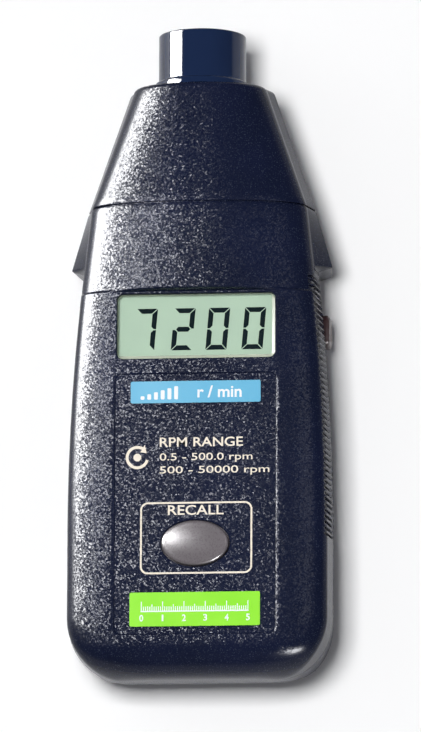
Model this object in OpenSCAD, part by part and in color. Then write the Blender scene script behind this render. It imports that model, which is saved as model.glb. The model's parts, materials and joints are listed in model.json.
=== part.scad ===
// Hand-held light-beam tachometer lying on its back.
// X is to the right, Y runs from the foot to the nose, Z comes out of the front face.

/* [Body] */
// Greatest width across the grip
body_w = 75; // [74:1:80]
// Height of the flat front face above the back
face_z = 33.5; // [33:0.5:36]
// Thickness of the shell walls
wall = 2.2; // [1.8:0.1:2.4]
// Height of the plane where the two case halves meet
part_z = 19; // [18.8:0.1:19.6]
// Lean of the side walls away from the parting plane, in degrees
draft = 5; // [3:0.5:6]
// Front edge rounding, across the body
top_a = 13; // [11:0.5:14]
// Front edge rounding, in height
top_b = 8.5; // [7:0.5:10]
// Back edge rounding
back_r = 7; // [5:0.5:7.5]

/* [Grip] */
// Length from the foot to the shoulder notch
grip_len = 115; // [114:1:118]
// Width where the grip meets the shoulder notch
neck_w = 65.4; // [64:0.2:67]
// Distance from the foot to the widest place
wide_at = 42; // [36:1:46]
// Foot corner, across the body
foot_corner_w = 16; // [12:1:18]
// Foot corner, along the body
foot_corner_l = 17; // [14:1:19]
// Length of the rounding from the front face down to the foot
foot_top_l = 9; // [7:0.5:9]
// Length of the rounding from the back up to the foot
foot_back_l = 6; // [4:0.5:6.5]
// Half height of the flat band round the foot
foot_band = 2.5; // [2:0.1:3]

/* [Ribs] */
// Number of grip ribs on each side
rib_count = 44; // [30:1:44]
// Distance from rib to rib
rib_pitch = 1.68; // [1.4:0.02:1.7]
// Height of a rib over its valley
rib_h = 0.8; // [0.4:0.1:0.9]
// Depth of the rib crests below the side wall
rib_sink = 0.1; // [0.05:0.05:0.3]
// Length of a rib on each case half
rib_len = 6.6; // [5:0.2:7]

/* [Shoulder and head] */
// Length from the notch to the head seam
shoulder_len = 19; // [18:0.5:20]
// Width over the shoulder wings
shoulder_w = 73.4; // [72:0.2:75]
// Length of the slanted notch wall
notch_run = 2.5; // [1.5:0.1:3]
// Width at the head seam
seam_w = 63.2; // [62:0.2:65]
// Rise of the hood over the front face
hood_rise = 2.5; // [1.5:0.1:3]
// Further rise of the hood up to the seam
hood_slope = 0.5; // [0:0.1:1]
// Height of the crowned rounding of the hood and head
hood_b = 10.5; // [9.5:0.1:11]
// Half width of the level crest along the hood and head
crest_half = 2.5; // [2:0.5:6]
// Length from the lip of the hood to the notch
hood_len = 6; // [5.5:0.1:7]
// Length of the head
head_len = 35; // [34:0.5:36]
// Width of the head at its end face
head_end_w = 38.6; // [37:0.2:42]
// Fall of the head's front face towards the nose
head_drop = 2; // [0:0.1:3]
// Rise of the head's back towards the nose
head_rise = 5.5; // [4:0.1:6]
// Rounding of the end face edge
head_edge = 1.4; // [0.8:0.1:1.8]

/* [Nose] */
// Length of the nose beyond the head
nose_len = 15.8; // [14:0.2:18]
// Diameter of the nose tube
nose_d = 24.8; // [24:0.2:26]
// Wall of the nose tube
nose_wall = 1.8; // [1.4:0.1:2]
// Height of the beam axis above the back
nose_z = 20; // [19.5:0.1:20.5]
// Width of the collar round the foot of the nose
collar_w = 1.2; // [0.6:0.1:1.4]
// Length of the collar
collar_len = 2.2; // [1.5:0.1:3]

/* [Display] */
// Width of the display opening
view_w = 44.8; // [42:0.2:45]
// Length of the display opening
view_l = 18.5; // [17:0.1:18.6]
// Corner radius of the display opening
view_r = 1.7; // [1:0.1:2.5]
// Depth of the window below the front face
view_inset = 1; // [0.6:0.1:1.4]

/* [Panel] */
// Width of the shallow panel recess
panel_w = 45.6; // [44:0.2:46]
// Length of the shallow panel recess
panel_l = 74; // [72:0.5:74.5]
// Distance from the foot to the panel recess
panel_at = 11.3; // [10.5:0.1:12]
// Depth of the panel recess
panel_deep = 0.4; // [0.3:0.05:0.6]
// Width of the two stuck labels
label_w = 36.7; // [34:0.1:40]
// Length of the upper label
upper_label_l = 6.2; // [5:0.1:7]
// Length of the lower label
lower_label_l = 9.6; // [8:0.1:10]
// Thickness of the labels
label_t = 0.3; // [0.2:0.05:0.35]

/* [Buttons] */
// Width of the oval memory button
memory_w = 18.9; // [17:0.1:20]
// Length of the oval memory button
memory_l = 12.7; // [11:0.1:13]
// Distance from the foot to the middle of the memory button
memory_at = 37; // [36:0.2:38]
// Travel of the memory button
memory_travel = 0.8; // [0.5:0.1:0.9]
// Length of the side button along the body
measure_l = 8.8; // [8:0.1:9.4]
// Height of the side button
measure_h = 9; // [8:0.1:9.4]
// Height of the side button's middle above the back
measure_z = 11; // [10.6:0.1:11.6]
// How far the side button stands out of the grip
measure_proud = 2.2; // [1.8:0.1:3]
// Travel of the side button
measure_travel = 1.2; // [0.8:0.1:1.3]

/* [Batteries] */
// Diameter of a cell
cell_d = 14.2; // [14:0.1:14.4]
// Length of a cell with its nub
cell_l = 50.2; // [49.4:0.1:50.4]
// Number of cells side by side
cell_count = 4; // [4:1:4]
// Space between neighbouring cells
cell_space = 0.3; // [0.2:0.05:0.35]
// Thickness of the battery cover
cover_t = 2.2; // [2:0.1:2.3]

/* [Electronics] */
// Thickness of the circuit boards
board_t = 1.6; // [1.2:0.1:1.6]
// Width of the main board
board_w = 43; // [42:0.2:43.6]
// Height of the main board's top above the back
board_z = 24; // [23.8:0.1:24.1]

/* [Fits] */
// Gap round a sliding piece
slide_gap = 0.3; // [0.25:0.05:0.35]
// Gap round a fixed piece
seat_gap = 0.15; // [0.1:0.05:0.2]

/* [Hidden] */
$fn = 48;

// Places along the body
body_len = grip_len + shoulder_len + head_len + nose_len;
y_foot = -body_len / 2;
y_tip = body_len / 2;
y_wide = y_foot + wide_at;
y_notch = y_foot + grip_len;
y_lip = y_notch - hood_len;
y_seam = y_notch + shoulder_len;
y_head = y_seam + head_len;
seam_z = face_z + hood_rise + hood_slope;

// Sampling of the lofted skins
foot_steps = 10;
grip_steps = 8;
corner_steps = 9;
lip_run = 0.4;
open_by = 1;
notch_shift = 0.9;
rib_over = 2;
over = 0.02;
thin_r = 0.6;
rib_start = 2;

// Display stack, measured down from the inside of the front wall
lip_gap = 0.85;
y_view = y_lip - lip_gap - view_l / 2;
flange_w = 1.6;
window_t = 1.2;
window_z = face_z - wall - window_t;
panel_t = 2;
lcd_z = window_z - panel_t;
lcd_w = view_w + 1.2;
lcd_l = view_l + 1.5;
frame_w = 1.4;
zebra_w = 2;

// Panel recess and labels
label_inset = 2.2;
y_panel = y_foot + panel_at + panel_l / 2;
panel_z = face_z - panel_deep;
y_upper_label = y_panel + panel_l / 2 - label_inset - upper_label_l / 2;
y_lower_label = y_panel - panel_l / 2 + label_inset + lower_label_l / 2;

// Memory button, pressed along Z
y_memory = y_foot + memory_at;
memory_rim = face_z + 0.5;
memory_dome = 0.9;
memory_dome_r = memory_w * memory_w / (8 * memory_dome);
memory_stem_r = 1.8;
memory_switch_w = 6;
memory_plunger_r = 1.7;
memory_flange = 1.5;
memory_flange_t = 1.6;
memory_flange_z = face_z - wall - slide_gap - memory_flange_t;
memory_stem_l = 0.8;
memory_stem_z = memory_flange_z - memory_stem_l;
memory_plunger_z = memory_stem_z - memory_travel - slide_gap;

// Side button, pressed along X
measure_back = 14.6;
y_measure = y_notch - measure_back;
measure_x = grip_half(y_measure) - (part_z - measure_z) * tan(draft) + measure_proud;
measure_r = 2;
measure_reach = 12;
measure_stem_r = 1.6;
measure_switch_l = 6.4;
measure_switch_w = 4;
measure_plunger_r = 1.3;
measure_plunger_l = 1;
measure_flange = 1.2;
measure_flange_t = 1.4;
measure_flange_x = grip_half(y_notch) - wall - 1.5;
measure_stem_x = measure_flange_x - measure_flange_t - 0.9;
measure_plunger_x = measure_stem_x - measure_travel - slide_gap;

// Battery bay
cover_z = 0.3;
cell_gap = 0.6;
cell_pitch = cell_d + cell_space;
cell_z = cover_z + cover_t + cell_gap + cell_d / 2;
bay_top = cell_z + cell_d / 2 + slide_gap;
bay_t = 0.8;
bay_half = cell_count * cell_pitch / 2 + slide_gap;
bay_wall = 1.7;
bay_at = 6;
y_bay_foot = y_foot + bay_at;
contact_t = 0.6;
contact_reach = 1.5;
contact_half = 5;
pad_r = 2.4;
tag_half = 1.5;
y_cell = y_bay_foot + contact_t + contact_reach;
y_bay_top = y_cell + cell_l + contact_reach + contact_t;
nub_d = 5.5;
nub_l = 1;
bay_end_t = 1.2;
slot_l = 2.6;

// Battery cover, slid off towards the foot
flat_half = body_w / 2 - (part_z - back_r) * tan(draft) - back_r;
cover_edge = 0.55;
cover_half = flat_half - cover_edge;
rail_w = 1.4;
rail_z = 1.3;
cover_top = cover_z + cover_t;
cover_lap = 3;
cover_toe = 9;
y_cover_top = y_bay_top + cover_lap;
y_cover_foot = y_foot + cover_toe;
groove_count = 5;
groove_half = 9;
groove_w = 1;
groove_deep = 0.5;

// Boards
board_half = board_w / 2;
y_board_foot = y_memory - 7;
y_board_top = y_seam - 12;
y_board_tip = y_head - 14;
tongue_w = 18;
sensor_w = 22;
sensor_h = 20;
chip_w = 13;
chip_t = 1.7;
chip_back = 32;
crystal_l = 10;
crystal_w = 4.4;
crystal_h = 3.4;
crystal_x = 9;
board_screw_at = 12;

// Optics in the nose
nose_r = nose_d / 2;
bore_r = nose_r - nose_wall;
spigot_r = nose_r - 0.6;
spigot_l = wall + 2.4;
lens_t = 2;
ring_l = 1.6;
lens_inset = 1;
y_lens = y_tip - lens_inset - ring_l - lens_t;
holder_l = 14;
y_holder = y_lens - 8 - holder_l;
eye_x = 4.6;
eye_r = 2.5;

// Tabs that locate the head
tab_half = 7;
tab_l = 6;
tab_t = 2;
tab_gap = 1.3;

// Screws
case_screw_xs = [27, 26];
case_screw_ys = [y_bay_top + 7.6, y_seam - 9];
case_boss_r = 3.2;
screw_head_r = 2.7;
screw_head_h = 2;
screw_seat_z = 6;
shank_r = 1.2;
shank_l = 19;
board_screw_x = 18;
board_screw_ys = [y_notch + 1.5, y_memory + board_screw_at];
board_boss_r = 2.6;
pin_r = 0.9;
pin_l = 6;
pin_head_r = 1.9;
pin_head_h = 1.3;

// Half width of the grip wall at one place along the body
function grip_half(y) =
    y <= y_wide
    ? body_w / 2
    : body_w / 2 - (body_w - neck_w) / 2 * pow((y - y_wide) / (y_notch - y_wide), 2);

// Height of the front skin on the hood
function hood_at(y) = face_z + hood_rise + hood_slope * (y - y_lip) / (y_seam - y_lip);

// Share of an elliptic rounding left at one place near the foot, 1 on the body and 0 at the end
function foot_share(y, reach, inset) =
    let(t = max(0, (y_foot + reach - y) / (reach - inset)))
    sqrt(max(0, 1 - t * t));

// Stations of the case skin, each as place, half width, front height, back height, whether the
// front is crowned, and the half width that the front rounding starts from
function foot_stations(inset) = [
    for (k = [0:foot_steps])
        let(
            q = 90 * k / foot_steps,
            y = y_foot + inset + (foot_corner_l - inset) * (1 - cos(q)),
            w = body_w / 2 - foot_corner_w + (foot_corner_w - inset) * sin(q),
            band_top = part_z + foot_band,
            band_back = part_z - foot_band,
            top = band_top + (face_z - inset - band_top) * foot_share(y, foot_top_l, inset),
            back = band_back - (band_back - inset) * foot_share(y, foot_back_l, inset)
        )
        [y, w, top, back, false, w]
];

function grip_stations(inset) = [
    for (k = [1:grip_steps])
        let(y = y_foot + foot_corner_l + (y_lip + inset - y_foot - foot_corner_l) * k / grip_steps)
        let(w = grip_half(y) - inset)
        [y, w, face_z - inset, inset, false, w]
];

function shoulder_stations(inset, past) =
    let(
        shift = inset * notch_shift,
        y_rise = y_lip + inset + lip_run,
        y_out = y_notch + notch_run + shift,
        rise_half = grip_half(y_rise) - inset,
        neck_half = neck_w / 2 - inset,
        seam_half = seam_w / 2 - inset,
        out_half = neck_half + (seam_half - neck_half) * notch_run / shoulder_len
    )
    [
        [y_rise, rise_half, hood_at(y_rise) - inset, inset, true, rise_half],
        [y_notch + shift, neck_half, hood_at(y_notch) - inset, inset, true, neck_half],
        [y_out, shoulder_w / 2 - inset, hood_at(y_out) - inset, inset, true, out_half],
        [y_seam + past, seam_half, seam_z - inset, inset, true, seam_half]
    ];

function case_stations(inset, past) =
    concat(foot_stations(inset), grip_stations(inset), shoulder_stations(inset, past));

// Stations of the head, tapering from the seam to the end face
function head_station(y, inset) =
    let(u = (y - y_seam) / head_len, w = seam_w / 2 + (head_end_w - seam_w) / 2 * u - inset)
    [y, w, seam_z - head_drop * u - inset, head_rise * u + inset, true, w];

// Upper half of a section, from the right wall over the front to the left wall
function upper_half(s, inset, z_low) =
    let(
        b = min((s[4] ? hood_b : top_b) - inset, 0.75 * (s[2] - part_z)),
        zc = s[2] - b,
        x_wall = s[5] - (zc - part_z) * tan(draft),
        a = s[4] ? x_wall - crest_half : min(top_a - inset, 0.6 * s[1]),
        xc = x_wall - a,
        arc = [
            for (k = [0:corner_steps])
                let(q = 90 * k / corner_steps)
                [xc + a * cos(q), s[0], zc + b * sin(q)]
        ]
    )
    concat(
        [[s[1], s[0], z_low]],
        arc,
        [for (k = [corner_steps:-1:0]) [-arc[k][0], arc[k][1], arc[k][2]]],
        [[-s[1], s[0], z_low]]
    );

// Lower half of a section, from the left wall under the back to the right wall
function lower_half(s, inset, z_high) =
    let(
        e = min(back_r - inset, 0.75 * (part_z - s[3])),
        c = min(back_r - inset, 0.6 * s[1]),
        zc = s[3] + e,
        xc = s[1] - (part_z - zc) * tan(draft) - c,
        arc = [
            for (k = [0:corner_steps])
                let(q = 90 * k / corner_steps)
                [xc + c * cos(q), s[0], zc - e * sin(q)]
        ]
    )
    concat(
        [[-s[1], s[0], z_high]],
        [for (k = [0:corner_steps]) [-arc[k][0], arc[k][1], arc[k][2]]],
        [for (k = [corner_steps:-1:0]) arc[k]],
        [[s[1], s[0], z_high]]
    );

// Whole ring of a section, the upper half followed by the inside of the lower half
function ring(s, inset) =
    let(low = lower_half(s, inset, part_z))
    concat(upper_half(s, inset, part_z), [for (k = [1:len(low) - 2]) low[k]]);

// Corner points of a rounded rectangle
function rounded_points(w, l, r) = [
    for (corner = [0:3])
        for (k = [0:6])
            let(
                q = 90 * corner + 15 * k,
                sx = (corner == 0 || corner == 3) ? 1 : -1,
                sy = corner < 2 ? 1 : -1
            )
            [sx * (w / 2 - r) + r * cos(q), sy * (l / 2 - r) + r * sin(q)]
];

function oval_points(w, l) = [for (k = [0:47]) [w / 2 * cos(7.5 * k), l / 2 * sin(7.5 * k)]];

// Edge of the ribbed strip in plan, from the notch towards the foot
function rib_edge() =
    let(y_top = y_notch - rib_start)
    [
        for (i = [0:rib_count - 1])
            for (step = [[0, rib_h], [0.28, 0], [0.72, 0], [1, rib_h]])
                let(y = y_top - (i + step[0]) * rib_pitch)
                if (step[0] < 1 || i == rib_count - 1)
                    [grip_half(y) - rib_sink - step[1], y]
    ];

// Solid through a row of closed sections
module loft(rows) {
    n = len(rows[0]);
    m = len(rows);
    points = [for (row = rows) each row];
    sides = [
        for (i = [0:m - 2])
            for (j = [0:n - 1])
                let(a = i * n + j, b = i * n + (j + 1) % n)
                each [[a, b, b + n], [a, b + n, a + n]]
    ];
    first = [for (j = [n - 1:-1:0]) j];
    last = [for (j = [0:n - 1]) (m - 1) * n + j];
    polyhedron(points, concat([first], sides, [last]), convexity = 6);
}

module upper_skin(inset, past, z_low) {
    loft([for (s = case_stations(inset, past)) upper_half(s, inset, z_low)]);
}

module lower_skin(inset, past, z_high) {
    loft([for (s = case_stations(inset, past)) lower_half(s, inset, z_high)]);
}

module box(x0, x1, y0, y1, z0, z1) {
    translate([x0, y0, z0])
        cube([x1 - x0, y1 - y0, z1 - z0]);
}

module rounded_slab(w, l, r, h) {
    linear_extrude(h)
        polygon(rounded_points(w, l, r));
}

module post(x, y, z0, z1, r) {
    translate([x, y, z0])
        cylinder(h = z1 - z0, r = r);
}

module along_y(x, y, z, l, r) {
    translate([x, y, z])
        rotate([-90, 0, 0])
            cylinder(h = l, r = r);
}

module both_sides() {
    children();
    mirror([1, 0, 0])
        children();
}

module each_case_screw() {
    for (i = [0:1])
        for (side = [-1, 1])
            translate([side * case_screw_xs[i], case_screw_ys[i], 0])
                children();
}

module each_board_screw() {
    for (y = board_screw_ys)
        for (side = [-1, 1])
            translate([side * board_screw_x, y, 0])
                children();
}

// Grooves between the grip ribs of both sides
module rib_cut() {
    edge = rib_edge();
    x_out = body_w / 2 + rib_over;
    both_sides()
        translate([0, 0, part_z - rib_len])
            linear_extrude(2 * rib_len)
                polygon(concat(edge, [[x_out, edge[len(edge) - 1][1]], [x_out, edge[0][1]]]));
}

// Opening for the side button through the rear half's wall
module measure_opening() {
    translate([measure_flange_x, y_measure, measure_z])
        rotate([0, 90, 0])
            rounded_slab(measure_h + 2 * slide_gap, measure_l + 2 * slide_gap, measure_r + slide_gap, measure_reach);
}

// Tab that reaches from a case half into the head
module head_tab(z_seat, z_low, z_high) {
    box(-tab_half, tab_half, y_seam - tab_l, y_seam + tab_l, z_low, z_high);
    box(-tab_half, tab_half, y_seam - tab_l, y_seam - slide_gap, min(z_seat, z_low), max(z_seat, z_high));
}

module front_case() {
    color("#22232b")
        difference() {
            union() {
                upper_skin(0, 0, part_z);
                head_tab(seam_z - wall / 2, seam_z - wall - tab_gap - tab_t, seam_z - wall - tab_gap);
            }
            difference() {
                upper_skin(wall, open_by, part_z - open_by);
                each_case_screw()
                    post(0, 0, part_z - 2, seam_z, case_boss_r);
                each_board_screw()
                    post(0, 0, board_z, seam_z, board_boss_r);
                head_tab(seam_z - wall / 2, seam_z - wall - tab_gap - tab_t, seam_z - wall - tab_gap);
            }
            translate([0, y_view, window_z])
                rounded_slab(view_w, view_l, view_r, wall + window_t + hood_rise);
            translate([0, y_view, lcd_z])
                rounded_slab(view_w + 2 * flange_w + 2 * seat_gap, view_l + flange_w + 2 * seat_gap, view_r,
                    panel_t + window_t);
            translate([0, y_panel, panel_z])
                rounded_slab(panel_w, panel_l, view_r, panel_deep + 1);
            translate([0, y_memory, window_z])
                linear_extrude(wall + window_t + 1)
                    polygon(oval_points(memory_w + 2 * slide_gap, memory_l + 2 * slide_gap));
            rib_cut();
            each_case_screw()
                post(0, 0, part_z - 1, screw_seat_z + shank_l + 1, shank_r + 0.05);
            each_board_screw()
                post(0, 0, board_z - 1, board_z + pin_l - board_t + 0.6, pin_r + 0.05);
        }
}

// Room for the battery cover in the back, open at the foot
module cover_room() {
    box(-cover_half - slide_gap, cover_half + slide_gap, y_foot - 1, y_cover_top + slide_gap,
        -1, rail_z + slide_gap);
    box(-cover_half - rail_w - slide_gap, cover_half + rail_w + slide_gap, y_foot - 1,
        y_cover_top + slide_gap, rail_z - slide_gap, cover_top + slide_gap);
    box(-body_w, body_w, y_foot - 1, y_cover_foot + slide_gap, -1, cover_top + slide_gap);
}

// Walls of the battery bay inside the rear half
module bay_walls() {
    box(-body_w, body_w, y_foot, y_bay_top - slot_l, bay_top, bay_top + bay_t);
    box(-body_w, body_w, y_bay_foot - bay_end_t, y_bay_foot, cover_top + slide_gap, bay_top + bay_t);
    box(-body_w, body_w, y_bay_top, y_bay_top + bay_end_t, 0, bay_top + bay_t);
    both_sides()
        box(bay_half, bay_half + bay_wall, y_bay_foot - bay_end_t, y_bay_top + bay_end_t,
            cover_top + slide_gap, bay_top + bay_t);
}

module rear_case() {
    color("#1b1c22")
        difference() {
            union() {
                lower_skin(0, 0, part_z);
                head_tab(wall / 2, wall + tab_gap, wall + tab_gap + tab_t);
            }
            difference() {
                lower_skin(wall, open_by, part_z + open_by);
                each_case_screw()
                    post(0, 0, 0, part_z, case_boss_r + 0.6);
                bay_walls();
                head_tab(wall / 2, wall + tab_gap, wall + tab_gap + tab_t);
            }
            cover_room();
            box(-bay_half, bay_half, y_bay_foot, y_bay_top, cover_top, bay_top);
            rib_cut();
            measure_opening();
            each_case_screw()
                post(0, 0, -1, screw_seat_z, screw_head_r + slide_gap);
            each_case_screw()
                post(0, 0, screw_seat_z - 1, part_z + 2, shank_r + slide_gap);
        }
}

module head_shell() {
    y_edge = y_head - head_edge;
    seam_ring = ring(head_station(y_seam, wall), wall);
    color("#24252d")
        difference() {
            loft([
                ring(head_station(y_seam, 0), 0),
                ring(head_station(y_edge, 0), 0),
                ring(head_station(y_head - head_edge * 0.3, head_edge * 0.3), 0),
                ring(head_station(y_head, head_edge), 0)
            ]);
            loft([
                [for (p = seam_ring) p - [0, open_by, 0]],
                seam_ring,
                ring(head_station(y_head - wall, wall), wall)
            ]);
            along_y(0, y_head - wall - 1, nose_z, wall + 2, spigot_r + seat_gap);
        }
}

module battery_cover() {
    groove_y = y_bay_top - groove_half;
    color("#1e1f26")
        difference() {
            intersection() {
                lower_skin(0, 0, part_z);
                union() {
                    box(-cover_half, cover_half, y_foot - 1, y_cover_top, cover_z, rail_z + 0.2);
                    box(-cover_half - rail_w, cover_half + rail_w, y_foot - 1, y_cover_top, rail_z, cover_top);
                    box(-body_w, body_w, y_foot - 1, y_cover_foot, cover_z, cover_top);
                }
            }
            for (k = [0:groove_count - 1])
                box(-groove_half, groove_half, groove_y - 2 * k * groove_w - groove_w, groove_y - 2 * k * groove_w,
                    -1, cover_z + groove_deep);
        }
}

module nose_tube() {
    color("#15161c")
        difference() {
            union() {
                along_y(0, y_head + collar_len / 2, nose_z, nose_len - collar_len / 2, nose_r);
                along_y(0, y_head - spigot_l, nose_z, spigot_l + collar_len / 2, spigot_r);
                translate([0, y_head, nose_z])
                    rotate([-90, 0, 0])
                        cylinder(h = collar_len, r1 = nose_r + collar_w, r2 = nose_r + collar_w / 2);
            }
            along_y(0, y_head - spigot_l - 1, nose_z, spigot_l + nose_len + 2, bore_r);
        }
}

module lens_ring() {
    color("#2b2c33")
        difference() {
            along_y(0, y_lens + lens_t, nose_z, ring_l, bore_r - 0.02);
            along_y(0, y_lens + lens_t - 1, nose_z, ring_l + 2, bore_r - 1.6);
        }
}

module lens() {
    color("#b8d4e6")
        along_y(0, y_lens, nose_z, lens_t, bore_r - 0.02);
}

module optics_holder() {
    color("#101014")
        difference() {
            along_y(0, y_holder, nose_z, holder_l, bore_r - 0.02);
            for (side = [-1, 1]) {
                along_y(side * eye_x, y_holder - 1, nose_z, holder_l + 2, eye_r + 0.05);
                along_y(side * eye_x, y_holder - 1, nose_z, 2.2, eye_r + 0.6);
            }
        }
}

// Round device with a rim and two legs, seated in the holder
module eye(side, body_l) {
    along_y(side * eye_x, y_holder, nose_z, body_l, eye_r);
    along_y(side * eye_x, y_holder, nose_z, 1.2, eye_r + 0.5);
    translate([side * eye_x, y_holder + body_l, nose_z])
        sphere(r = eye_r);
    for (leg = [-1, 1])
        along_y(side * eye_x + leg * 1.27, y_board_tip + board_t, nose_z, y_holder - y_board_tip - board_t + 0.3, 0.3);
}

module emitter() {
    color("#d8463c")
        eye(-1, 6);
}

module photo_sensor() {
    color("#26262a")
        eye(1, 5);
}

module sensor_board() {
    color("#1f6b3a")
        box(-sensor_w / 2, sensor_w / 2, y_board_tip, y_board_tip + board_t,
            nose_z - sensor_h / 2, nose_z + sensor_h / 2);
}

module main_board() {
    color("#1f6b3a")
        difference() {
            union() {
                box(-board_half, board_half, y_board_foot, y_board_top, board_z - board_t, board_z);
                box(-tongue_w / 2, tongue_w / 2, y_board_top - 1, y_board_tip, board_z - board_t, board_z);
            }
            each_board_screw()
                post(0, 0, board_z - board_t - 1, board_z + 1, pin_r + 0.2);
        }
}

module main_chip() {
    color("#2a2a2e")
        translate([0, y_view - chip_back, board_z])
            rounded_slab(chip_w, chip_w, thin_r, chip_t);
}

module crystal() {
    color("#c9ccd0")
        translate([crystal_x, y_memory + board_screw_at, board_z])
            rounded_slab(crystal_l, crystal_w, crystal_w / 2 - over, crystal_h);
}

module lcd_window() {
    color("#cfe3c4")
        translate([0, y_view, window_z])
            union() {
                rounded_slab(view_w + 2 * flange_w, view_l + flange_w, view_r, window_t);
                rounded_slab(view_w - 2 * seat_gap, view_l - 2 * seat_gap, view_r, window_t + wall - view_inset);
            }
}

module lcd_panel() {
    color("#b9cfa6")
        translate([0, y_view, lcd_z])
            rounded_slab(lcd_w, lcd_l, 0.6, panel_t);
}

module lcd_frame() {
    color("#3a3b42")
        translate([0, y_view, board_z])
            difference() {
                rounded_slab(lcd_w + 2 * frame_w, lcd_l + 2 * frame_w, 1, window_z - board_z - 0.2);
                translate([0, 0, -1])
                    rounded_slab(lcd_w + 2 * seat_gap, lcd_l + 2 * seat_gap, 0.6, window_z - board_z + 2);
            }
}

module zebra_strips() {
    color("#d9a0a8")
        for (side = [-1, 1])
            translate([0, y_view + side * (lcd_l / 2 - zebra_w / 2 - 0.3), board_z])
                rounded_slab(lcd_w - 6, zebra_w, 0.4, lcd_z - board_z);
}

module upper_label() {
    color("#3f6fb0")
        translate([0, y_upper_label, panel_z])
            rounded_slab(label_w, upper_label_l, 0.5, label_t);
}

module lower_label() {
    color("#7fd03a")
        translate([0, y_lower_label, panel_z])
            rounded_slab(label_w, lower_label_l, 0.5, label_t);
}

module memory_button() {
    color("#8d8a86")
        translate([0, y_memory, memory_flange_z])
            union() {
                intersection() {
                    linear_extrude(memory_rim + memory_dome - memory_flange_z)
                        polygon(oval_points(memory_w, memory_l));
                    translate([0, 0, memory_rim + memory_dome - memory_flange_z - memory_dome_r])
                        sphere(r = memory_dome_r, $fn = 96);
                }
                linear_extrude(memory_flange_t)
                    polygon(oval_points(memory_w + 2 * memory_flange, memory_l + 2 * memory_flange));
                post(0, 0, -memory_stem_l, memory_flange_t, memory_stem_r);
            }
}

module memory_switch() {
    color("#4a4a50")
        translate([0, y_memory, board_z])
            union() {
                rounded_slab(memory_switch_w, memory_switch_w, thin_r, memory_plunger_z - board_z - memory_travel);
                post(0, 0, 0, memory_plunger_z - board_z, memory_plunger_r);
            }
}

module measure_button() {
    color("#6b2a26")
        translate([0, y_measure, measure_z])
            rotate([0, 90, 0])
                union() {
                    translate([0, 0, measure_flange_x - measure_flange_t])
                        rounded_slab(measure_h, measure_l, measure_r,
                            measure_x - measure_flange_x + measure_flange_t);
                    translate([0, 0, measure_flange_x - measure_flange_t])
                        rounded_slab(measure_h + 2 * measure_flange, measure_l + 2 * measure_flange, measure_r,
                            measure_flange_t);
                    translate([0, 0, measure_stem_x])
                        cylinder(h = measure_flange_x - measure_stem_x - measure_flange_t / 2, r = measure_stem_r);
                }
}

module measure_switch() {
    color("#4a4a50")
        union() {
            box(board_half - measure_switch_w, measure_plunger_x - measure_plunger_l,
                y_measure - measure_switch_l / 2, y_measure + measure_switch_l / 2,
                measure_z - 2 * measure_plunger_r, board_z - board_t);
            translate([measure_plunger_x - 2 * measure_plunger_l, y_measure, measure_z])
                rotate([0, 90, 0])
                    cylinder(h = 2 * measure_plunger_l, r = measure_plunger_r);
        }
}

// One cell, with its nub towards the nose or the foot
module cell(i) {
    x = (i - (cell_count + 1) / 2) * cell_pitch;
    up = i % 2 == 1;
    color(up ? "#b08d2e" : "#a8862b")
        union() {
            along_y(x, up ? y_cell : y_cell + nub_l, cell_z, cell_l - nub_l, cell_d / 2);
            along_y(x, up ? y_cell + cell_l - nub_l - 0.5 : y_cell, cell_z, nub_l + 0.5, nub_d / 2);
        }
}

module battery_1() { cell(1); }
module battery_2() { cell(2); }
module battery_3() { cell(3); }
module battery_4() { cell(4); }

// Sprung contact plate over the cells from one to another, at the foot or at the top of the bay
module contact(from, to, top) {
    mid = (cell_count + 1) / 2;
    x0 = (from - mid) * cell_pitch - contact_half;
    x1 = (to - mid) * cell_pitch + contact_half;
    y0 = top ? y_bay_top - contact_t : y_bay_foot;
    tag_x = (from < mid ? -1 : 1) * (board_half - 2 * tag_half);
    color("#c4c6ca")
        union() {
            box(x0, x1, y0, y0 + contact_t, cell_z - contact_half, cell_z + contact_half);
            for (i = [from:to])
                along_y((i - mid) * cell_pitch, top ? y_cell + cell_l : y_bay_foot + contact_t / 2, cell_z,
                    contact_reach + contact_t / 2, pad_r);
            if (from == to)
                box(tag_x - tag_half, tag_x + tag_half, y0, y0 + contact_t, cell_z, board_z - board_t);
        }
}

module foot_contact_1() { contact(1, 2, false); }
module foot_contact_2() { contact(3, 4, false); }
module top_contact_1() { contact(1, 1, true); }
module top_contact_2() { contact(2, 3, true); }
module top_contact_3() { contact(4, 4, true); }

module case_screws() {
    color("#b4b7bc")
        each_case_screw()
            difference() {
                union() {
                    post(0, 0, screw_seat_z - screw_head_h, screw_seat_z, screw_head_r);
                    post(0, 0, screw_seat_z - 0.5, screw_seat_z + shank_l, shank_r);
                }
                for (turn = [0, 90])
                    rotate([0, 0, turn])
                        box(-1.6, 1.6, -0.35, 0.35, screw_seat_z - screw_head_h - 1, screw_seat_z - 0.9);
            }
}

module board_screws() {
    seat = board_z - board_t;
    color("#b4b7bc")
        each_board_screw()
            difference() {
                union() {
                    post(0, 0, seat - pin_head_h, seat, pin_head_r);
                    post(0, 0, seat - 0.3, seat + pin_l, pin_r);
                }
                box(-1.3, 1.3, -0.25, 0.25, seat - pin_head_h - 1, seat - 0.7);
            }
}

front_case();
rear_case();
head_shell();
battery_cover();
nose_tube();
lens_ring();
lens();
optics_holder();
emitter();
photo_sensor();
sensor_board();
main_board();
main_chip();
crystal();
lcd_window();
lcd_panel();
lcd_frame();
zebra_strips();
upper_label();
lower_label();
memory_button();
memory_switch();
measure_button();
measure_switch();
battery_1();
battery_2();
battery_3();
battery_4();
foot_contact_1();
foot_contact_2();
top_contact_1();
top_contact_2();
top_contact_3();
case_screws();
board_screws();
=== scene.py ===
"""Hand-held light-beam tachometer: the looks of the part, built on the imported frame."""

import json
import math
from collections import namedtuple

import bmesh
import bpy
from mathutils import Matrix, Vector


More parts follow.
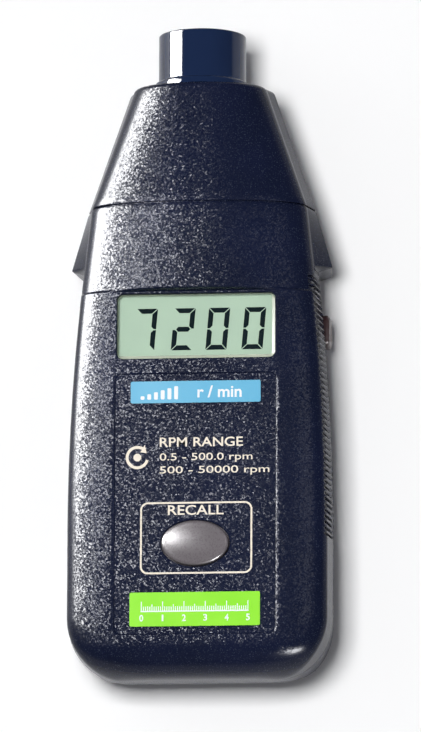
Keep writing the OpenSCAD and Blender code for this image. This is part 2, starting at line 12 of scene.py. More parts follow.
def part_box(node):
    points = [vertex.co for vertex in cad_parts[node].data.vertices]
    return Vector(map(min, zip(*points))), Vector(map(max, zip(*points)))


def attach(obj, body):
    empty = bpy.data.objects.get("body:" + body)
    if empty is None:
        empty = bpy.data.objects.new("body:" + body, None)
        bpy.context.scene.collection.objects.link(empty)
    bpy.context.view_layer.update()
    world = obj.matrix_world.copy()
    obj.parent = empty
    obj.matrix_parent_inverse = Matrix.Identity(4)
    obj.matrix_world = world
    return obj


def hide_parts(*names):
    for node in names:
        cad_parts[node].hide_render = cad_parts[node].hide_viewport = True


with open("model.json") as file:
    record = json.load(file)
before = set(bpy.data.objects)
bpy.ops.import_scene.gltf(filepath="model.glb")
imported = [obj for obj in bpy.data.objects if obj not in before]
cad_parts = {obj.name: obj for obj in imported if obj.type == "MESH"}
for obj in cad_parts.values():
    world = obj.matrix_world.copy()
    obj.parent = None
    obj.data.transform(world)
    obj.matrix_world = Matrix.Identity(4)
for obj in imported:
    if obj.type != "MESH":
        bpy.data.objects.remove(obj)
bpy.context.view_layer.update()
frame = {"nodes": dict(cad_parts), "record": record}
MM = 0.001


def low(node):
    """Lowest corner of a node's box, in millimetres."""
    return Vector(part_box(node)[0]) / MM


def high(node):
    """Highest corner of a node's box, in millimetres."""
    return Vector(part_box(node)[1]) / MM


# Places read from the frame, in millimetres
Y_FOOT = low("front_case").y
Y_SEAM = low("head_shell").y
Y_HEAD = high("head_shell").y
Y_TIP = high("nose_tube").y
PART_Z = low("front_case").z
SEAM_Z = high("head_shell").z
PANEL_Z = low("upper_label").z
LABEL_Z = high("upper_label").z
UPPER_LABEL_Y = (low("upper_label").y + high("upper_label").y) / 2
LOWER_LABEL_Y = (low("lower_label").y + high("lower_label").y) / 2
WINDOW_LOW = low("lcd_window")
WINDOW_HIGH = high("lcd_window")
LCD_TOP = high("lcd_panel").z
LENS_LOW = low("lens")
LENS_HIGH = high("lens")
MEMORY_LOW = low("memory_button")
MEMORY_HIGH = high("memory_button")
MEMORY_Y = (MEMORY_LOW.y + MEMORY_HIGH.y) / 2
MEASURE_LOW = low("measure_button")
MEASURE_HIGH = high("measure_button")
MEASURE_Y = (MEASURE_LOW.y + MEASURE_HIGH.y) / 2
MEASURE_Z = (MEASURE_LOW.z + MEASURE_HIGH.z) / 2
COVER_LOW = low("battery_cover")
COVER_HIGH = high("battery_cover")
SCREW_LOW = low("case_screws")
SCREW_HIGH = high("case_screws")

# Housing in plan, in millimetres: half widths, and places along it
BODY_HALF = 37.5
NECK_HALF = 33.2
SHOULDER_HALF = 37.2
SEAM_HALF = 32.4
HEAD_HALF = 20.2
WAIST_IN = 1.2
Y_WIDE = Y_FOOT + 42.0
Y_NOTCH = Y_SEAM - 17.3
Y_LIP = Y_SEAM - 25.0
NOTCH_RUN = 0.8
LIP_RUN = 0.4

# Housing in section. A and B are a rounding's width and height, which the shares limit on small sections.
WALL = 2.2
DRAFT = math.tan(math.radians(5))
FACE_Z = PANEL_Z + 0.4
TOP_A, TOP_B = 13.0, 6.4
HOOD_B = 10.5
HOOD_RISE = 2.5
CREST_HALF = 2.5
BACK_R = 7.0
HIGH_SHARE, WIDE_SHARE = 0.75, 0.6
PART_EDGE, GROOVE = 0.2, 0.22
FOOT_W, FOOT_L = 16.0, 17.0
FOOT_TOP, FOOT_BACK, FOOT_BAND = 9.0, 6.0, 2.5
HEAD_DROP, HEAD_RISE, HEAD_EDGE = 2.0, 5.5, 1.4

# How far the corners of the outline and of the lip are softened
SIDE_SOFT, LIP_SOFT = 0.4, 0.25
# The inner skin's shoulder step lies nearer to the nose by this share of the wall, from below the notch on.
STEP_SHARE, STEP_FROM = 0.9, 3.0

# Ribs of the grip. On the right they run into the front rounding, on the left they stop below it.
RIBS, RIB_PITCH, RIB_H, RIB_SINK = 44, 1.68, 0.9, 0.1
RIB_RIGHT, RIB_LEFT = 10.0, 6.8
RIB_TOP = Y_NOTCH - 3.0
RIB_END = RIB_TOP - RIBS * RIB_PITCH
RIB_FADE, RIB_RUN = 0.3, 0.2
RIB_FLANK = (0.3, 0.8)

# The seam groove: distance from the seam plane and depth below the skin
SEAM_STEPS = ((0, 0.8), (0.2, 0.78), (0.22, 0.2), (0.32, 0.06), (0.5, 0))

# Points on a section's wall, rounding and flat, and sections along the foot's and the head's edge
WALL_N, ARC_N, FLAT_N = 14, 22, 8
FOOT_N, HEAD_EDGE_N = 30, 8
HEAD_STEP, HEAD_INNER_STEP = 2, 3

# Display opening, panel recess and buttons
VIEW_W, VIEW_L, VIEW_R = 44.8, 18.5, 1.7
VIEW_Y = (WINDOW_LOW.y + WINDOW_HIGH.y) / 2
PANEL_W, PANEL_L, PANEL_R = 45.6, 74.0, 1.85
PANEL_Y = Y_FOOT + 11.3 + PANEL_L / 2
MEMORY_W, MEMORY_L = 18.9, 12.7
MEASURE_L, MEASURE_H, MEASURE_R = 8.8, 9.0, 2.0
HOLE_R = MEASURE_R + 0.2
GAP = 0.3
EDGE, FILLET, PANEL_DRAFT = 0.25, 0.15, 0.1

# Cuts: how far they start inside the case, reach past a skin and stay clear of a face. Those from the back
# start below it, and box cuts reach further out.
CUT_IN, CUT_OUT, SKIM = 2.0, 3.0, 0.02
BELOW, BOX_OUT = -1.0, 2.0

# Nose
COLLAR_RISE, COLLAR_L = 1.2, 2.2
NOSE_R = (high("nose_tube").z - low("nose_tube").z) / 2 - COLLAR_RISE
NOSE_Z = (high("nose_tube").z + low("nose_tube").z) / 2
NOSE_BORE = NOSE_R - 1.8
SPIGOT_R, SPIGOT_L = NOSE_R - 0.6, 4.6

# A section of the housing: place, half width, front and back height, share of the hood's crown, and the half
# width that the front rounding starts from
Section = namedtuple("Section", "y half top back crown waist")


def clamp(t):
    return min(1.0, max(0.0, t))


def smooth(a, b, t):
    """Smooth step from 0 at a to 1 at b."""
    t = clamp((t - a) / (b - a))
    return t * t * (3 - 2 * t)


def softened(f, y, reach, steps=9):
    """Mean of f round y, which rounds off its corners."""
    return sum(f(y + reach * (2 * k / (steps - 1) - 1)) for k in range(steps)) / steps


def raw_half(y):
    """Half width of the case, with sharp corners at the shoulder."""
    if y <= Y_NOTCH:
        t = max(0.0, (y - Y_WIDE) / (Y_NOTCH - Y_WIDE))
        return BODY_HALF - (BODY_HALF - NECK_HALF) * t * t
    y_out = Y_NOTCH + NOTCH_RUN
    if y <= y_out:
        return NECK_HALF + (SHOULDER_HALF - NECK_HALF) * (y - Y_NOTCH) / NOTCH_RUN
    return SHOULDER_HALF + (SEAM_HALF - SHOULDER_HALF) * (y - y_out) / (Y_SEAM - y_out)


def raw_waist(y):
    """Half width that the front rounding starts from, without the shoulder wing."""
    if y <= Y_NOTCH:
        return raw_half(y)
    return NECK_HALF + (SEAM_HALF - WAIST_IN - NECK_HALF) * (y - Y_NOTCH) / (Y_SEAM - Y_NOTCH)


def raw_crown(y):
    """Share of the hood's crown: none on the grip's face, all of it past the lip."""
    return clamp((y - Y_LIP) / LIP_RUN)


def raw_top(y):
    """Height of the front, with sharp corners at the lip."""
    hood = FACE_Z + HOOD_RISE + (SEAM_Z - FACE_Z - HOOD_RISE) * (y - Y_LIP) / (Y_SEAM - Y_LIP)
    return FACE_Z + (hood - FACE_Z) * raw_crown(y)


def foot_share(y, reach, inset):
    """Share of the full height on the foot's rounding, which is reach long."""
    t = max(0.0, (Y_FOOT + reach - y) / (reach - inset))
    return math.sqrt(max(0.0, 1 - t * t))


def case_section(y, inset):
    """Section of the grip or the shoulder, inset from the skin."""
    side_y = y - STEP_SHARE * inset if y > Y_NOTCH - STEP_FROM else y
    return Section(
        y=y,
        half=softened(raw_half, side_y, SIDE_SOFT) - inset,
        top=softened(raw_top, y - inset, LIP_SOFT) - inset,
        back=inset,
        crown=softened(raw_crown, y - inset, LIP_SOFT),
        waist=softened(raw_waist, side_y, SIDE_SOFT) - inset,
    )


def foot_section(angle, inset):
    """Section of the rounded foot, from its end at 0 to the grip at a right angle."""
    y = Y_FOOT + inset + (FOOT_L - inset) * (1 - math.cos(angle))
    half = BODY_HALF - FOOT_W + (FOOT_W - inset) * math.sin(angle)
    top = PART_Z + FOOT_BAND
    top += (FACE_Z - inset - top) * foot_share(y, FOOT_TOP, inset)
    back = PART_Z - FOOT_BAND
    back -= (back - inset) * foot_share(y, FOOT_BACK, inset)
    return Section(y, half, top, back, crown=0.0, waist=half)


def head_section(y, inset):
    """Section of the tapered head, inset from the skin."""
    t = (y - Y_SEAM) / (Y_HEAD - Y_SEAM)
    half = SEAM_HALF + (HEAD_HALF - SEAM_HALF) * t - inset
    top = SEAM_Z - HEAD_DROP * t - inset
    return Section(y, half, top, HEAD_RISE * t + inset, crown=1.0, waist=half - WAIST_IN)


def spread(start, end, step):
    """Even places about a step apart, from start to before end."""
    n = max(1, round(abs(end - start) / step))
    return [start + (end - start) * k / n for k in range(n)]


def case_places():
    """Places from the foot's rounding to the seam, close together where the shape has detail."""
    rib_step = RIB_PITCH / 6
    # Where each stretch starts and how far apart its places are
    stretches = (
        (Y_FOOT + FOOT_L, 2.2),
        (RIB_END - 0.6, rib_step),
        (Y_LIP - 0.5, 0.1),
        (Y_LIP + 1.1, rib_step),
        (RIB_TOP + 0.4, 0.3),
        (Y_NOTCH - 0.8, 0.22),
        (Y_NOTCH + NOTCH_RUN + 1, 1.1),
    )
    ends = [start for start, _ in stretches[1:]] + [Y_SEAM - SEAM_STEPS[-1][0]]
    places = []
    for (start, step), end in zip(stretches, ends):
        places += spread(start, end, step)
    return places[1:]


def case_rows(inset):
    """Sections of the case from the foot to the seam, with the seam groove in the outer skin."""
    rows = [foot_section(math.radians(90 * k / FOOT_N), inset) for k in range(FOOT_N + 1)]
    rows += [case_section(y, inset) for y in case_places()]
    for back_by, depth in reversed(SEAM_STEPS):
        row = case_section(Y_SEAM - back_by, inset)
        if not inset:
            row = row._replace(half=row.half - depth, top=row.top - depth, back=row.back + depth,
                               waist=row.waist - depth)
        rows.append(row)
    return rows


def half_arc(a, b, x_mid, z_mid, up):
    """Quarter ellipse from the wall, then the flat to the middle. Up is 1 at the front, -1 at the back."""
    points = []
    for k in range(ARC_N + 1):
        angle = math.radians(90 * k / ARC_N)
        points.append((x_mid + a * math.cos(angle), z_mid + up * b * math.sin(angle)))
    points += [(x_mid * (1 - k / FLAT_N), z_mid + up * b) for k in range(1, FLAT_N + 1)]
    return points


def wall_line(half, x_wall, z_end):
    """Points along the side wall from the parting plane to the rounding."""
    zs = [PART_Z, PART_Z + math.copysign(PART_EDGE, z_end - PART_Z)]
    zs += [zs[1] + (z_end - zs[1]) * k / (WALL_N - 1) for k in range(1, WALL_N - 1)]
    return [(half + (x_wall - half) * (z - PART_Z) / (z_end - PART_Z), z) for z in zs]


def upper(row, inset):
    """Right half of a section's front: the plain rounding, blended into the hood's by its crown share."""

    def profile(b, crowned):
        b = min(b - inset, HIGH_SHARE * (row.top - PART_Z))
        z_mid = row.top - b
        x_wall = row.waist - (z_mid - PART_Z) * DRAFT
        a = x_wall - CREST_HALF if crowned else min(TOP_A - inset, WIDE_SHARE * row.half)
        return wall_line(row.half, x_wall, z_mid) + half_arc(a, b, x_wall - a, z_mid, 1)

    plain, hood = profile(TOP_B, False), profile(HOOD_B, True)
    return [(p[0] + (h[0] - p[0]) * row.crown, p[1] + (h[1] - p[1]) * row.crown) for p, h in zip(plain, hood)]


def lower(row, inset):
    """Right half of a section's back."""
    b = min(BACK_R - inset, HIGH_SHARE * (PART_Z - row.back))
    a = min(BACK_R - inset, WIDE_SHARE * row.half)
    z_mid = row.back + b
    x_wall = row.half - (PART_Z - z_mid) * DRAFT
    return wall_line(row.half, x_wall, z_mid) + half_arc(a, b, x_wall - a, z_mid, -1)


def ribbed(x, y, z, reach):
    """The side wall at that place, cut back to the upright ribs of the grip."""
    across = 1 - smooth(reach - RIB_FADE, reach, abs(z - PART_Z))
    along = smooth(RIB_END - RIB_RUN, RIB_END, y) * (1 - smooth(RIB_TOP, RIB_TOP + RIB_RUN, y))
    wave = 0.5 - 0.5 * math.cos(2 * math.pi * (RIB_TOP - y) / RIB_PITCH)
    cut_x = min(x, raw_half(y)) - RIB_SINK - RIB_H * (1 - smooth(*RIB_FLANK, wave))
    return x + (cut_x - x) * across * along


def row_points(row, inset, side, ribs):
    """One half section as points from the right wall to the left, with the parting groove on the outside."""
    walls = []
    for reach in (RIB_RIGHT, RIB_LEFT):
        wall = side(row, inset)
        if ribs:
            wall = [(ribbed(x, row.y, z, reach), z) for x, z in wall]
        if not inset:
            wall[0] = (wall[0][0] - GROOVE, wall[0][1])
        walls.append(wall)
    right, left = walls
    return [(x, row.y, z) for x, z in right] + [(-x, row.y, z) for x, z in reversed(left[:-1])]


def mesh_piece(name, points, faces, scale=MM):
    """New object from points and faces, with its normals turned outwards."""
    mesh = bpy.data.meshes.new(name)
    mesh.from_pydata([Vector(p) * scale for p in points], [], faces)
    bm = bmesh.new()
    bm.from_mesh(mesh)
    bmesh.ops.recalc_face_normals(bm, faces=bm.faces)
    bm.to_mesh(mesh)
    bm.free()
    mesh.validate()
    obj = bpy.data.objects.new(name, mesh)
    bpy.context.scene.collection.objects.link(obj)
    return obj


def grid_faces(rows, cols, start, closed):
    """Quads between rows of points, which are numbered from start."""
    faces = []
    for i in range(rows - 1):
        for j in range(cols if closed else cols - 1):
            a, b = start + i * cols + j, start + i * cols + (j + 1) % cols
            faces.append((a, b, b + cols, a + cols))
    return faces


def half_shell(name, side):
    """One case half as a closed wall: outer skin, inner skin and the rim between them."""
    outer = [row_points(row, 0, side, True) for row in case_rows(0)]
    inner = [row_points(row, WALL, side, False) for row in case_rows(WALL)]
    m, n = len(outer), len(outer[0])
    points = [p for row in outer + inner for p in row]
    k = m * n
    faces = grid_faces(m, n, 0, False) + grid_faces(m, n, k, False)
    faces += [tuple(range(n)), tuple(k + j for j in range(n)), (0, n - 1, k + n - 1, k)]
    for i in range(m - 1):
        a, b = i * n, (i + 1) * n
        faces += [(a, b, k + b, k + a), (a + n - 1, b + n - 1, k + b + n - 1, k + a + n - 1)]
    last = (m - 1) * n
    faces += [(last + j, last + j + 1, k + last + j + 1, k + last + j) for j in range(n - 1)]
    return mesh_piece(name, points, faces)


def half_solid(name, side):
    """One case half as a filled body."""
    rows = [row_points(row, 0, side, False) for row in case_rows(0)]
    m, n = len(rows), len(rows[0])
    faces = grid_faces(m, n, 0, True) + [tuple(range(n)), tuple((m - 1) * n + j for j in range(n))]
    return mesh_piece(name, [p for row in rows for p in row], faces)


def ring_points(row, inset):
    """A whole section as a closed ring of points."""
    right = list(reversed(lower(row, inset))) + upper(row, inset)[1:]
    loop = right + [(-x, z) for x, z in reversed(right[1:-1])]
    return [(x, row.y, z) for x, z in loop]


def head_skin():
    """Sections of the head's outer skin, from the seam groove to the rounded end."""
    rows = [head_section(Y_SEAM + on, depth) for on, depth in SEAM_STEPS]
    places = spread(Y_SEAM + SEAM_STEPS[-1][0], Y_HEAD - HEAD_EDGE, HEAD_STEP)
    rows += [head_section(y, 0) for y in places[1:]]
    for k in range(HEAD_EDGE_N + 1):
        angle = math.radians(90 * k / HEAD_EDGE_N)
        y = Y_HEAD - HEAD_EDGE * (1 - math.sin(angle))
        rows.append(head_section(y, HEAD_EDGE * (1 - math.cos(angle))))
    return rows


def head_piece(name):
    """The head as a wall with an inner skin, open at the seam."""
    places = spread(Y_SEAM, Y_HEAD - WALL, HEAD_INNER_STEP) + [Y_HEAD - WALL]
    outer = [ring_points(row, 0) for row in head_skin()]
    inner = [ring_points(head_section(y, WALL), WALL) for y in places]
    n = len(outer[0])
    k = len(outer) * n
    points = [p for row in outer + inner for p in row]
    faces = grid_faces(len(outer), n, 0, True) + grid_faces(len(inner), n, k, True)
    faces += [tuple(k - n + j for j in range(n)), tuple(k + (len(inner) - 1) * n + j for j in range(n))]
    faces += [(j, (j + 1) % n, k + (j + 1) % n, k + j) for j in range(n)]
    return mesh_piece(name, points, faces)


def rounded_loop(width, length, radius, n=10):
    """Plan outline of a rounded rectangle, anticlockwise from the right."""
    points = []
    for corner, (sx, sy) in enumerate(((1, 1), (-1, 1), (-1, -1), (1, -1))):
        for k in range(n + 1):
            angle = math.radians(90 * corner + 90 * k / n)
            x = sx * (width / 2 - radius) + radius * math.cos(angle)
            points.append((x, sy * (length / 2 - radius) + radius * math.sin(angle)))
    return points


def oval_loop(width, length, n=96):
    """Plan outline of an oval, anticlockwise from the right."""
    angles = [2 * math.pi * k / n for k in range(n)]
    return [(width / 2 * math.cos(angle), length / 2 * math.sin(angle)) for angle in angles]


def shifted(loop, x, y):
    return [(a + x, b + y) for a, b in loop]


def view_outline(grow):
    """The display opening, wider and longer by grow."""
    return shifted(rounded_loop(VIEW_W + grow, VIEW_L + grow, VIEW_R + grow / 2), 0, VIEW_Y)


def panel_outline(grow):
    """The panel recess, wider and longer by grow."""
    return shifted(rounded_loop(PANEL_W + grow, PANEL_L + grow, PANEL_R + grow / 2), 0, PANEL_Y)


def memory_outline(grow):
    """The memory button, wider and longer by grow."""
    return shifted(oval_loop(MEMORY_W + grow, MEMORY_L + grow), 0, MEMORY_Y)


def measure_outline(grow, radius):
    """The measuring button, longer and higher by grow."""
    return rounded_loop(MEASURE_L + grow, MEASURE_H + grow, radius)


def measure_place(p):
    """Place of a point of the measuring button, whose outline lies across and whose height is along +X."""
    return p[2], p[0] + MEASURE_Y, p[1] + MEASURE_Z


def stack(name, loops, place=lambda p: p):
    """Closed body through outlines at heights: loops is a list of (outline, height)."""
    n = len(loops[0][0])
    points = [place((x, y, z)) for loop, z in loops for x, y in loop]
    faces = grid_faces(len(loops), n, 0, True)
    faces += [tuple(range(n)), tuple((len(loops) - 1) * n + j for j in range(n))]
    return mesh_piece(name, points, faces)


def stepped(name, outline, steps):
    """Closed body through one outline at heights: steps is a list of (growth, height)."""
    return stack(name, [(outline(grow), z) for grow, z in steps])


def box_piece(name, x, y, z):
    """Box between two limits on each axis."""
    loop = [(x[0], y[0]), (x[1], y[0]), (x[1], y[1]), (x[0], y[1])]
    return stack(name, [(loop, z[0]), (loop, z[1])])


def turned(name, profile, centre, segments=96):
    """Body of revolution about Y through centre. The profile is a closed run of (radius, y)."""
    n = len(profile)
    points, faces = [], []
    for i in range(segments):
        angle = 2 * math.pi * i / segments
        points += [(centre[0] + r * math.sin(angle), y, centre[1] + r * math.cos(angle)) for r, y in profile]
    for i in range(segments):
        a, b = i * n, (i + 1) % segments * n
        faces += [(a + j, a + (j + 1) % n, b + (j + 1) % n, b + j) for j in range(n)]
    return mesh_piece(name, points, faces)


def quarter(r, y, size, start, steps=6):
    """Rounded corner of a turned profile about (r, y)."""
    angles = [math.radians(start + 90 * k / steps) for k in range(steps + 1)]
    return [(r + size * math.cos(angle), y + size * math.sin(angle)) for angle in angles]


def baked(obj):
    """Turns the object's modifiers into its mesh."""
    graph = bpy.context.evaluated_depsgraph_get()
    mesh = bpy.data.meshes.new_from_object(obj.evaluated_get(graph))
    obj.modifiers.clear()
    old, obj.data = obj.data, mesh
    bpy.data.meshes.remove(old)
    return obj


def combine(obj, other, how):
    """Joins, cuts or keeps what is common with the other object, which is used up."""
    mod = obj.modifiers.new(how, "BOOLEAN")
    mod.operation, mod.solver, mod.object = how, "EXACT", other
    baked(obj)
    bpy.data.objects.remove(other)


def cut(obj, other):
    combine(obj, other, "DIFFERENCE")


def shaded(obj, degrees=32):
    """Smooth shading, with edges steeper than that kept sharp."""
    bm = bmesh.new()
    bm.from_mesh(obj.data)
    for f in bm.faces:
        f.smooth = True
    for e in bm.edges:
        e.smooth = len(e.link_faces) == 2 and e.calc_face_angle(0) < math.radians(degrees)
    bm.to_mesh(obj.data)
    bm.free()
    return obj


# Materials. Colours are linear, and grain sizes and depths are in metres.
NAVY, NAVY_LIGHT = (0.0042, 0.0070, 0.023), (0.0055, 0.0088, 0.030)
# Painted glints: lighter specks in the case's base colour that stand in for the sparkle of its grain
PAINTED_GLINT = (0.035, 0.045, 0.075)
CASE_GRAIN, CASE_TILT = 0.00034, 0.32
# The facets start where the normal's upright share passes the first value and are full at the second.
STEEP, LEVEL = 0.75, 0.97
# Noise: its detail, the values between which clouds, the painted glint specks and roughness change, and
# roughness shares
CLOUD_DETAIL, GRAIN_DETAIL, GRAIN_ROUGH = 3, 1.5, 0.6
CLOUD_RANGE, PAINTED_GLINT_RANGE, ROUGH_RANGE = (0.35, 0.65), (0.6, 0.72), (0.3, 0.7)
ROUGH_LOW, ROUGH_HIGH = 0.8, 1.15


def new_material(name):
    mat = bpy.data.materials.new(name)
    mat.use_nodes = True
    nodes, links = mat.node_tree.nodes, mat.node_tree.links
    return mat, nodes, links, nodes["Principled BSDF"]


def object_noise(nodes, links, scale, detail, rough=0.5):
    """Noise that is fixed to the object."""
    coord = nodes.new("ShaderNodeTexCoord")
    noise = nodes.new("ShaderNodeTexNoise")
    noise.inputs["Scale"].default_value = scale
    noise.inputs["Detail"].default_value = detail
    noise.inputs["Roughness"].default_value = rough
    links.new(coord.outputs["Object"], noise.inputs["Vector"])
    return noise.outputs["Fac"]


def ramp(nodes, links, source, limits, first, last):
    """Colour that goes from first to last while the source goes through its limits."""
    node = nodes.new("ShaderNodeValToRGB")
    for stop, at, colour in zip(node.color_ramp.elements, limits, (first, last)):
        stop.position, stop.color = at, (*colour, 1)
    links.new(source, node.inputs["Fac"])
    return node.outputs["Color"]


def vector_math(nodes, operation):
    node = nodes.new("ShaderNodeVectorMath")
    node.operation = operation
    return node


def facets(nodes, links, size, tilt):
    """Normal of a spark-eroded surface: cells of that size that lean their own ways, except on walls."""
    coord, cells = nodes.new("ShaderNodeTexCoord"), nodes.new("ShaderNodeTexVoronoi")
    cells.inputs["Scale"].default_value = 1 / size
    links.new(coord.outputs["Object"], cells.inputs["Vector"])
    centred = vector_math(nodes, "SUBTRACT")
    links.new(cells.outputs["Color"], centred.inputs[0])
    centred.inputs[1].default_value = (0.5, 0.5, 0.5)

    surface, parts = nodes.new("ShaderNodeNewGeometry"), nodes.new("ShaderNodeSeparateXYZ")
    level, share = nodes.new("ShaderNodeMath"), nodes.new("ShaderNodeMapRange")
    level.operation = "ABSOLUTE"
    links.new(surface.outputs["Normal"], parts.inputs["Vector"])
    links.new(parts.outputs["Z"], level.inputs[0])
    links.new(level.outputs["Value"], share.inputs["Value"])
    share.inputs["From Min"].default_value = STEEP
    share.inputs["From Max"].default_value = LEVEL
    share.inputs["To Max"].default_value = tilt

    lean, total, unit = (vector_math(nodes, operation) for operation in ("SCALE", "ADD", "NORMALIZE"))
    links.new(centred.outputs["Vector"], lean.inputs[0])
    links.new(share.outputs["Result"], lean.inputs["Scale"])
    links.new(surface.outputs["Normal"], total.inputs[0])
    links.new(lean.outputs["Vector"], total.inputs[1])
    links.new(total.outputs["Vector"], unit.inputs[0])
    return unit.outputs["Vector"]


def bumps(nodes, links, height, depth):
    """Normal of a surface with bumps of that depth."""
    bump = nodes.new("ShaderNodeBump")
    bump.inputs["Strength"].default_value = 1.0
    bump.inputs["Distance"].default_value = depth
    links.new(height, bump.inputs["Height"])
    return bump.outputs["Normal"]


def plastic(name, dark, light, rough, grain, depth=0.0, cloud=40.0, gloss=0.5, painted_glint=None, tilt=0.0):
    """Moulded plastic of a slightly cloudy colour. Its grain is bumps of a depth, or facets of a tilt."""
    mat, nodes, links, bsdf = new_material(name)
    bsdf.inputs["Specular IOR Level"].default_value = gloss
    colour = ramp(nodes, links, object_noise(nodes, links, cloud, CLOUD_DETAIL), CLOUD_RANGE, dark, light)
    fine = object_noise(nodes, links, 1 / grain, GRAIN_DETAIL, GRAIN_ROUGH)
    # Painted glints: lighter specks mixed into the base colour where the fine noise is high
    if painted_glint:
        blend = nodes.new("ShaderNodeMixRGB")
        links.new(ramp(nodes, links, fine, PAINTED_GLINT_RANGE, (0, 0, 0), (1, 1, 1)), blend.inputs["Fac"])
        links.new(colour, blend.inputs["Color1"])
        blend.inputs["Color2"].default_value = (*painted_glint, 1)
        colour = blend.outputs["Color"]
    links.new(colour, bsdf.inputs["Base Color"])
    spots = ramp(nodes, links, fine, ROUGH_RANGE, [rough * ROUGH_LOW] * 3, [rough * ROUGH_HIGH] * 3)
    links.new(spots, bsdf.inputs["Roughness"])
    normal = facets(nodes, links, grain, tilt) if tilt else bumps(nodes, links, fine, depth)
    links.new(normal, bsdf.inputs["Normal"])
    return mat


def case_plastic(name):
    """Dark navy plastic with the spark-eroded grain of the housing, and lighter specks painted into its
    colour as glints.
    """
    return plastic(
        name, NAVY, NAVY_LIGHT,
        rough=0.25, grain=CASE_GRAIN, gloss=0.12, painted_glint=PAINTED_GLINT, tilt=CASE_TILT)


def film(name, dark, light):
    """Printed label film."""
    return plastic(name, dark, light, rough=0.4, grain=0.0008, depth=0.000006, cloud=60, gloss=0.15)


def ink(name, dark, light):
    """Printing ink."""
    return plastic(name, dark, light, rough=0.5, grain=0.0003, depth=0.000006, gloss=0.15)


def metal(name, dark, light, rough):
    """Plated metal with a fine, shallow grain."""
    mat = plastic(name, dark, light, rough, grain=0.0006, depth=0.00001, cloud=300)
    mat.node_tree.nodes["Principled BSDF"].inputs["Metallic"].default_value = 1.0
    return mat


def clear(name, tint, alpha, rough):
    """See-through plastic or glass."""
    mat = plastic(name, tint, tint, rough, grain=0.004, depth=0.000004, cloud=60)
    mat.node_tree.nodes["Principled BSDF"].inputs["Alpha"].default_value = alpha
    return mat


MATS = {slot: case_plastic(slot) for slot in ("case_front", "case_head", "case_rear", "cover")}
MATS |= {
    "nose": plastic(
        "nose", (0.005, 0.014, 0.048), (0.007, 0.018, 0.058),
        rough=0.05, grain=0.004, depth=0.000004, gloss=0.3),
    "black_plastic": plastic(
        "black_plastic", (0.012, 0.012, 0.013), (0.02, 0.02, 0.022),
        rough=0.45, grain=0.0005, depth=0.00002),
    "lens": clear("lens", (0.7, 0.82, 0.88), alpha=0.35, rough=0.03),
    "emitter": plastic(
        "emitter", (0.5, 0.04, 0.03), (0.65, 0.07, 0.05),
        rough=0.12, grain=0.002, depth=0.000004),
    "board": plastic(
        "board", (0.015, 0.12, 0.045), (0.02, 0.17, 0.06),
        rough=0.4, grain=0.0012, depth=0.00001, cloud=220),
    "bare_metal": metal("bare_metal", (0.56, 0.57, 0.58), (0.66, 0.67, 0.68), rough=0.28),
    "window": clear("window", (0.8, 0.88, 0.76), alpha=0.006, rough=0.05),
    "display": plastic(
        "display", (0.42, 0.56, 0.44), (0.45, 0.6, 0.465),
        rough=0.3, grain=0.004, depth=0.000003, cloud=60, gloss=0.0),
    "strip_rubber": plastic(
        "strip_rubber", (0.4, 0.16, 0.19), (0.46, 0.2, 0.23),
        rough=0.7, grain=0.0004, depth=0.00002),
    "label_blue": film("label_blue", (0.11, 0.43, 0.66), (0.15, 0.48, 0.7)),
    "label_green": film("label_green", (0.26, 0.78, 0.02), (0.3, 0.82, 0.032)),
    "memory_key": plastic(
        "memory_key", (0.118, 0.106, 0.114), (0.14, 0.124, 0.135),
        rough=0.3, grain=0.0005, depth=0.000012),
    "measure_key": plastic(
        "measure_key", (0.035, 0.013, 0.015), (0.045, 0.018, 0.02),
        rough=0.35, grain=0.0005, depth=0.000015),
    "cell": plastic(
        "cell", (0.3, 0.2, 0.045), (0.38, 0.26, 0.07),
        rough=0.3, grain=0.003, depth=0.000006, cloud=90),
    "screw_steel": metal("screw_steel", (0.5, 0.51, 0.53), (0.6, 0.61, 0.63), rough=0.3),
}
PRINT = ink("print_cream", (0.8, 0.72, 0.6), (0.86, 0.78, 0.66))
PRINT_WHITE = ink("print_white", (0.82, 0.85, 0.88), (0.88, 0.9, 0.92))
SEGMENT = plastic(
    "display_segment", (0.004, 0.01, 0.013), (0.007, 0.015, 0.019),
    rough=0.6, grain=0.0008, depth=0.000003, gloss=0.0)
BEVEL = plastic(
    "window_edge", (0.5, 0.55, 0.44), (0.56, 0.61, 0.49),
    rough=0.4, grain=0.002, depth=0.000004, gloss=0.15)


def dress(obj, material, body="body", nodes=()):
    """Gives a piece its material and body, and hides the CAD nodes that it stands in for."""
    obj.data.materials.clear()
    obj.data.materials.append(material)
    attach(obj, body)
    if nodes:
        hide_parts(*nodes)
    return obj


# Front case half with its openings
front = half_shell("front_shell", upper)
cut(front, stepped("view_cut", view_outline, [
    (0, PART_Z + CUT_IN),
    (0, FACE_Z - EDGE),
    (2 * EDGE, FACE_Z),
    (2 * EDGE, SEAM_Z + CUT_OUT),
]))
cut(front, stepped("recess_cut", panel_outline, [
    (-2 * FILLET, PANEL_Z),
    (0, PANEL_Z + FILLET),
    (PANEL_DRAFT, FACE_Z - PANEL_DRAFT),
    (2 * EDGE, FACE_Z + SKIM),
    (2 * EDGE, FACE_Z + CUT_OUT),
]))
cut(front, stepped("memory_cut", memory_outline, [
    (2 * GAP, PART_Z + CUT_IN),
    (2 * GAP, PANEL_Z - EDGE),
    (4 * GAP, PANEL_Z + SKIM),
    (4 * GAP, FACE_Z + CUT_OUT),
]))
dress(shaded(front), MATS["case_front"], nodes=["front_case"])

